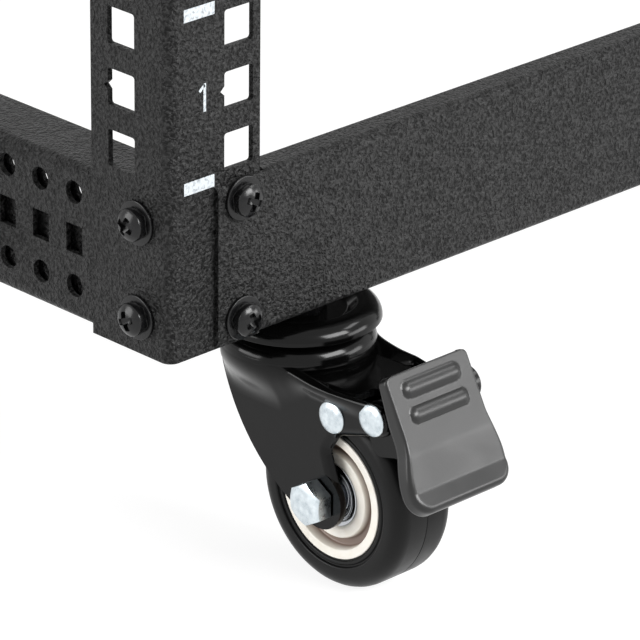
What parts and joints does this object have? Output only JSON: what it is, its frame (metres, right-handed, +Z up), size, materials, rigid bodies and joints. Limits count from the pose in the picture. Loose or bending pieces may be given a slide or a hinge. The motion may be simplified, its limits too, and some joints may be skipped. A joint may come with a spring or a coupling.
{
  "type": "open-frame rack on casters",
  "caption": "Low open-frame four-post equipment rack with square-hole columns, telescoping perforated side rails and braked swivel casters.",
  "frame": {"origin": "on the floor under the middle of the rack", "axes": "+Z up, +X to the right seen from the front, and the front, with the unit numbers, towards -Y"},
  "size_m": [0.5178, 0.4656, 0.4301],
  "materials": {
    "powder_coat": "fine-textured black powder coat",
    "printed_white": "white screen print",
    "screw_black": "glossy black oxide screws",
    "caster_black": "gloss black enamel on pressed steel",
    "pedal_black": "satin dark grey moulding",
    "zinc": "bright bluish zinc plating",
    "tread_rubber": "satin black tread",
    "hub_plastic": "cream moulded hub",
    "bearing_steel": "turned dark steel"
  },
  "bodies": {
    "frame": {"beam_front_bottom": "powder_coat", "beam_front_top": "powder_coat", "beam_rear_bottom": "powder_coat", "beam_rear_top": "powder_coat", "beam_screws": "screw_black", "caster_races": "caster_black", "caster_stems": "zinc", "clamp_screws": "screw_black", "post_front_left": "powder_coat", "post_front_right": "powder_coat", "post_rear_left": "powder_coat", "post_rear_right": "powder_coat", "rail_left_bottom_inner": "powder_coat", "rail_left_bottom_outer": "powder_coat", "rail_left_top_inner": "powder_coat", "rail_left_top_outer": "powder_coat", "rail_right_bottom_inner": "powder_coat", "rail_right_bottom_outer": "powder_coat", "rail_right_top_inner": "powder_coat", "rail_right_top_outer": "powder_coat", "rail_screws": "screw_black"},
    "caster_front_left_swivel": {"caster_front_left_fork": "caster_black", "caster_front_left_hardware": "zinc"},
    "caster_front_left_wheel": {"caster_front_left_tyre": "tread_rubber", "caster_front_left_hub": "hub_plastic", "caster_front_left_bearing": "bearing_steel"},
    "caster_front_left_brake": {"caster_front_left_pedal": "pedal_black"},
    "caster_front_right_swivel": {"caster_front_right_fork": "caster_black", "caster_front_right_hardware": "zinc"},
    "caster_front_right_wheel": {"caster_front_right_tyre": "tread_rubber", "caster_front_right_hub": "hub_plastic", "caster_front_right_bearing": "bearing_steel"},
    "caster_front_right_brake": {"caster_front_right_pedal": "pedal_black"},
    "caster_rear_left_swivel": {"caster_rear_left_fork": "caster_black", "caster_rear_left_hardware": "zinc"},
    "caster_rear_left_wheel": {"caster_rear_left_tyre": "tread_rubber", "caster_rear_left_hub": "hub_plastic", "caster_rear_left_bearing": "bearing_steel"},
    "caster_rear_left_brake": {"caster_rear_left_pedal": "pedal_black"},
    "caster_rear_right_swivel": {"caster_rear_right_fork": "caster_black", "caster_rear_right_hardware": "zinc"},
    "caster_rear_right_wheel": {"caster_rear_right_tyre": "tread_rubber", "caster_rear_right_hub": "hub_plastic", "caster_rear_right_bearing": "bearing_steel"},
    "caster_rear_right_brake": {"caster_rear_right_pedal": "pedal_black"}
  },
  "joints": [
    {"name": "front_left_swivel", "type": "hinge", "parent": "frame", "child": "caster_front_left_swivel", "pos_m": [-0.1978, -0.17175, 0.0634], "axis": [0, 0, 1], "continuous": true},
    {"name": "front_left_wheel_spin", "type": "hinge", "parent": "caster_front_left_swivel", "child": "caster_front_left_wheel", "pos_m": [-0.1978, -0.19355, 0.0255], "axis": [1, 0, 0], "continuous": true},
    {"name": "front_left_brake_pedal", "type": "hinge", "parent": "caster_front_left_swivel", "child": "caster_front_left_brake", "pos_m": [-0.1978, -0.21225, 0.0538], "axis": [1, 0, 0], "range_deg": [0, 12]},
    {"name": "front_right_swivel", "type": "hinge", "parent": "frame", "child": "caster_front_right_swivel", "pos_m": [0.1978, -0.17175, 0.0634], "axis": [0, 0, 1], "continuous": true},
    {"name": "front_right_wheel_spin", "type": "hinge", "parent": "caster_front_right_swivel", "child": "caster_front_right_wheel", "pos_m": [0.1978, -0.19355, 0.0255], "axis": [1, 0, 0], "continuous": true},
    {"name": "front_right_brake_pedal", "type": "hinge", "parent": "caster_front_right_swivel", "child": "caster_front_right_brake", "pos_m": [0.1978, -0.21225, 0.0538], "axis": [1, 0, 0], "range_deg": [0, 12]},
    {"name": "rear_left_swivel", "type": "hinge", "parent": "frame", "child": "caster_rear_left_swivel", "pos_m": [-0.1978, 0.17175, 0.0634], "axis": [0, 0, 1], "continuous": true},
    {"name": "rear_left_wheel_spin", "type": "hinge", "parent": "caster_rear_left_swivel", "child": "caster_rear_left_wheel", "pos_m": [-0.1978, 0.19355, 0.0255], "axis": [1, 0, 0], "continuous": true},
    {"name": "rear_left_brake_pedal", "type": "hinge", "parent": "caster_rear_left_swivel", "child": "caster_rear_left_brake", "pos_m": [-0.1978, 0.21225, 0.0538], "axis": [-1, 0, 0], "range_deg": [0, 12]},
    {"name": "rear_right_swivel", "type": "hinge", "parent": "frame", "child": "caster_rear_right_swivel", "pos_m": [0.1978, 0.17175, 0.0634], "axis": [0, 0, 1], "continuous": true},
    {"name": "rear_right_wheel_spin", "type": "hinge", "parent": "caster_rear_right_swivel", "child": "caster_rear_right_wheel", "pos_m": [0.1978, 0.19355, 0.0255], "axis": [1, 0, 0], "continuous": true},
    {"name": "rear_right_brake_pedal", "type": "hinge", "parent": "caster_rear_right_swivel", "child": "caster_rear_right_brake", "pos_m": [0.1978, 0.21225, 0.0538], "axis": [-1, 0, 0], "range_deg": [0, 12]}
  ]
}
